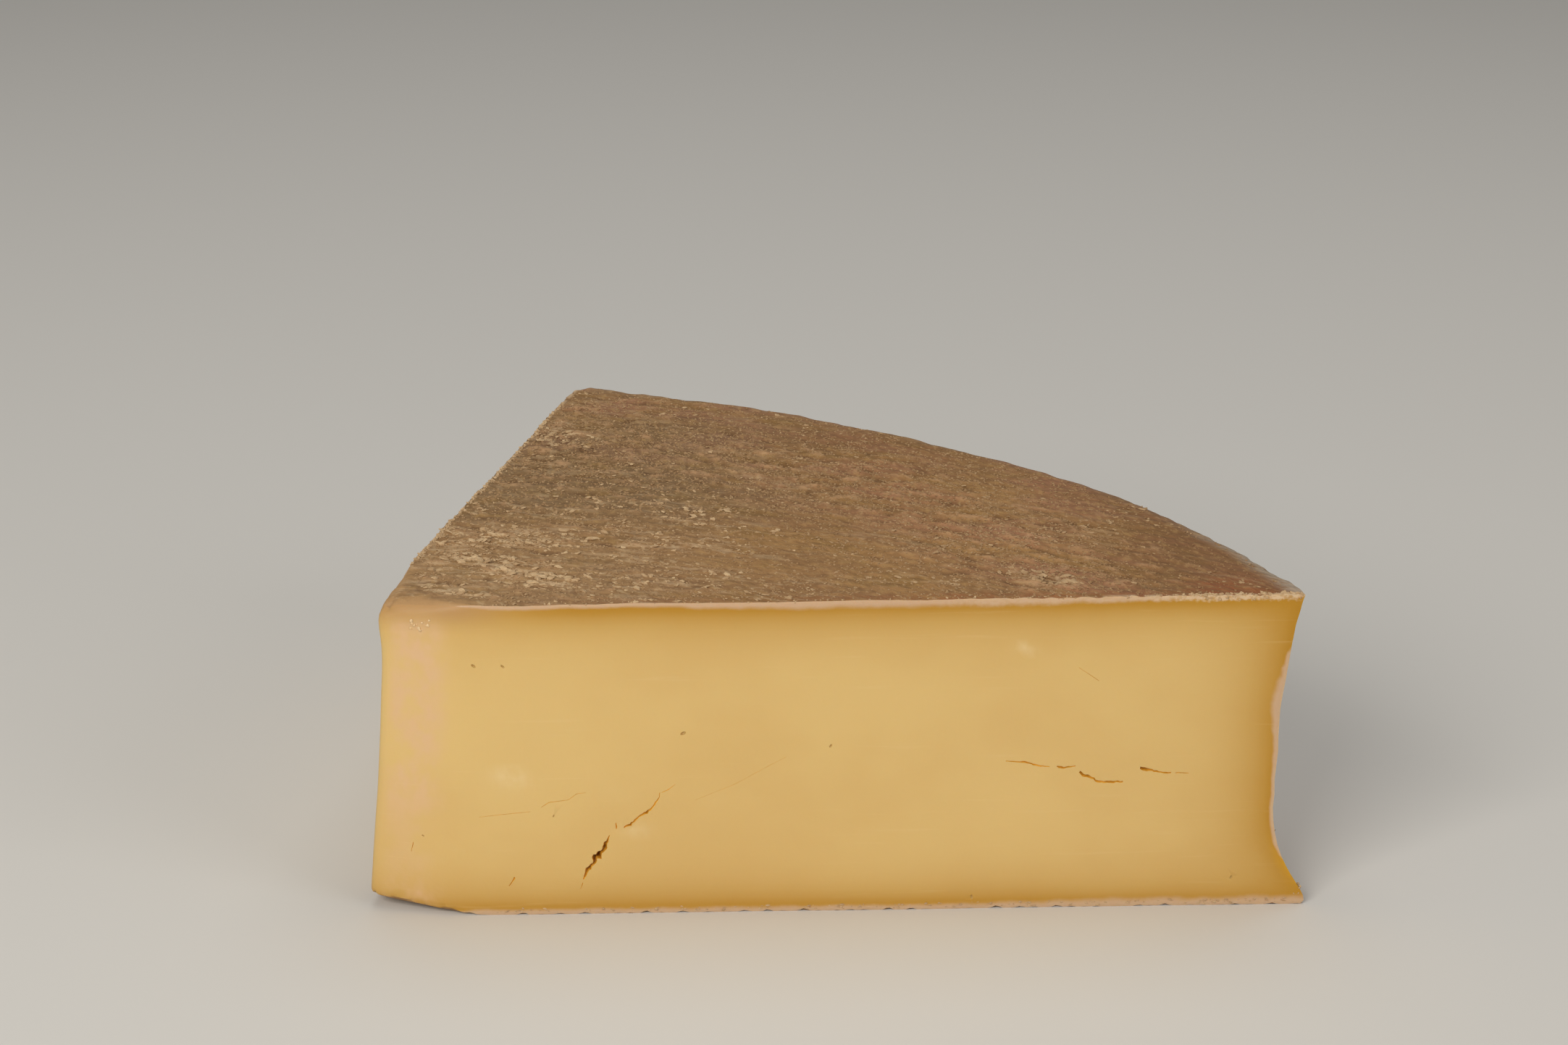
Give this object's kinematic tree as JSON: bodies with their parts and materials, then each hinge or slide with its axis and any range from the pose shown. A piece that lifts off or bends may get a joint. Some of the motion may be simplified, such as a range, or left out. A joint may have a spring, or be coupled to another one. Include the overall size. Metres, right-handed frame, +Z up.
{
  "type": "abondance cheese block",
  "caption": "Wedge of pressed mountain cheese cut from a wheel: smooth yellow cut faces with cracks, a blunt tip, a hollow heel and a rough brown rind.",
  "frame": {"origin": "under the middle of the block's bounding box, on the surface that it rests on", "axes": "+Z up, +X along the front cut from the tip to the heel, -Y out of the front cut"},
  "size_m": [0.2016, 0.1744, 0.0707],
  "materials": {
    "paste": "smooth knife-cut paste with a soft waxy sheen, rough brown rind above, below and on the heel"
  },
  "bodies": {
    "root": {"cheese_block": "paste"}
  },
  "joints": []
}
